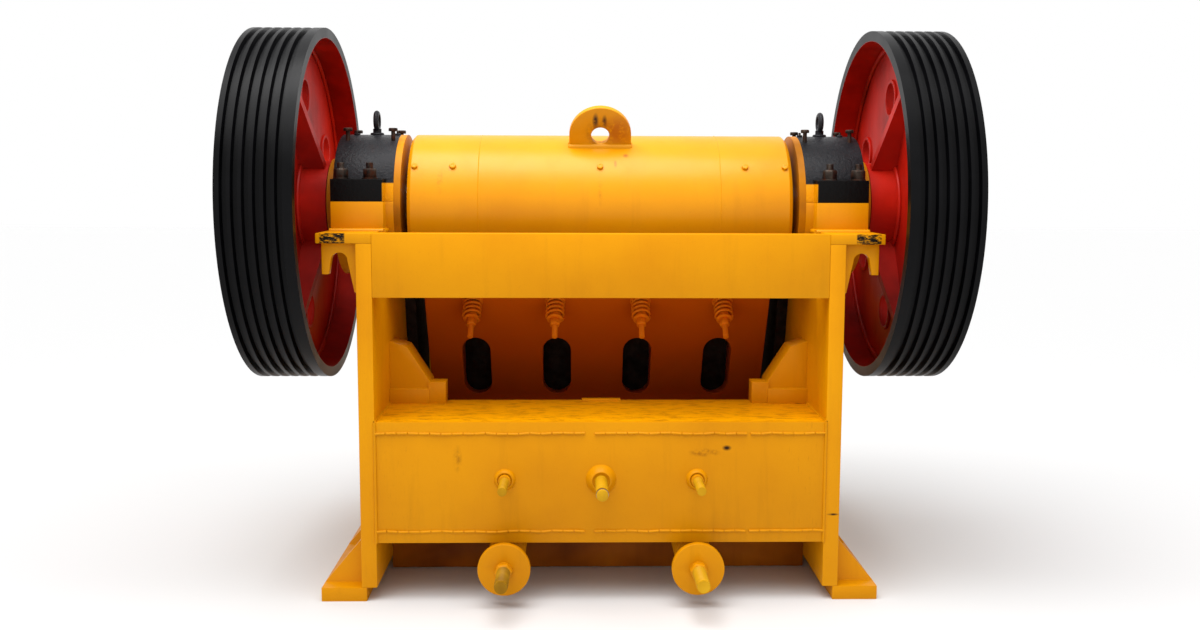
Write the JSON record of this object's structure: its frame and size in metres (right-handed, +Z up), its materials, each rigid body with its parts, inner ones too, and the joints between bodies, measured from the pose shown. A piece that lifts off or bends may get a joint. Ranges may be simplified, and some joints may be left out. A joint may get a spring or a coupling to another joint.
{
  "type": "jaw crusher",
  "caption": "Single-toggle jaw crusher with two grooved flywheels, eccentric shaft in split bearing housings, swinging jaw, welded side frame and spring-loaded tension rods.",
  "frame": {"origin": "on the ground, in the middle of the four anchor bolt holes in the feet", "axes": "+Z up, +Y towards the feed side (front wall), -Y towards the toggle side (rear), +X to the right seen from the rear"},
  "size_m": [2.3812, 1.58, 1.872],
  "materials": {
    "yellow_paint": "satin enamel, scuffed at corners",
    "black_paint": "semi-gloss black enamel over rough casting",
    "rim_paint": "semi-gloss black enamel, red on the inside of the rim",
    "red_paint": "semi-gloss red enamel",
    "machined_steel": "machined",
    "wear_steel": "as cast, dull"
  },
  "bodies": {
    "frame": {"side_plate_left": "yellow_paint", "top_flange_left": "yellow_paint", "foot_left": "yellow_paint", "lifting_hook_left": "yellow_paint", "guide_bracket_left": "yellow_paint", "cheek_plate_left": "wear_steel", "bearing_base_left": "yellow_paint", "bearing_cap_left": "black_paint", "bearing_left": "yellow_paint", "cap_eye_left": "black_paint", "tension_spring_left": "yellow_paint", "side_plate_right": "yellow_paint", "top_flange_right": "yellow_paint", "foot_right": "yellow_paint", "lifting_hook_right": "yellow_paint", "guide_bracket_right": "yellow_paint", "cheek_plate_right": "wear_steel", "bearing_base_right": "yellow_paint", "bearing_cap_right": "black_paint", "bearing_right": "yellow_paint", "cap_eye_right": "black_paint", "tension_spring_right": "yellow_paint", "fixed_jaw_plate": "wear_steel", "front_wall": "yellow_paint", "front_rib_bottom": "yellow_paint", "front_rib_top": "yellow_paint", "rear_top_beam": "yellow_paint", "toggle_box_beam": "yellow_paint", "lower_cross_plate": "yellow_paint", "toggle_seat": "yellow_paint", "toggle_plate": "wear_steel"},
    "shaft": {"eccentric_shaft": "machined_steel", "flywheel_rim_left": "rim_paint", "flywheel_web_left": "red_paint", "flywheel_rim_right": "rim_paint", "flywheel_web_right": "red_paint", "shaft_end_cap_left": "red_paint", "shaft_end_cap_right": "red_paint"},
    "jaw": {"swing_jaw": "yellow_paint", "barrel_lifting_lug": "yellow_paint", "moving_jaw_plate": "wear_steel", "tension_rod_left": "yellow_paint", "tension_rod_right": "yellow_paint", "spring_disc_left": "yellow_paint", "spring_disc_right": "yellow_paint"}
  },
  "joints": [
    {"name": "shaft_spin", "type": "hinge", "parent": "frame", "child": "shaft", "pos_m": [0, -0.22, 1.272], "axis": [1, 0, 0], "continuous": true, "deforming": ["tension_spring_left", "tension_spring_right"]},
    {"name": "jaw_swing", "type": "hinge", "parent": "shaft", "child": "jaw", "pos_m": [0, -0.22, 1.262], "axis": [1, 0, 0], "continuous": true}
  ],
  "couplings": [
    {"joint": "jaw_swing", "follows": "shaft_spin", "ratio": -1}
  ]
}
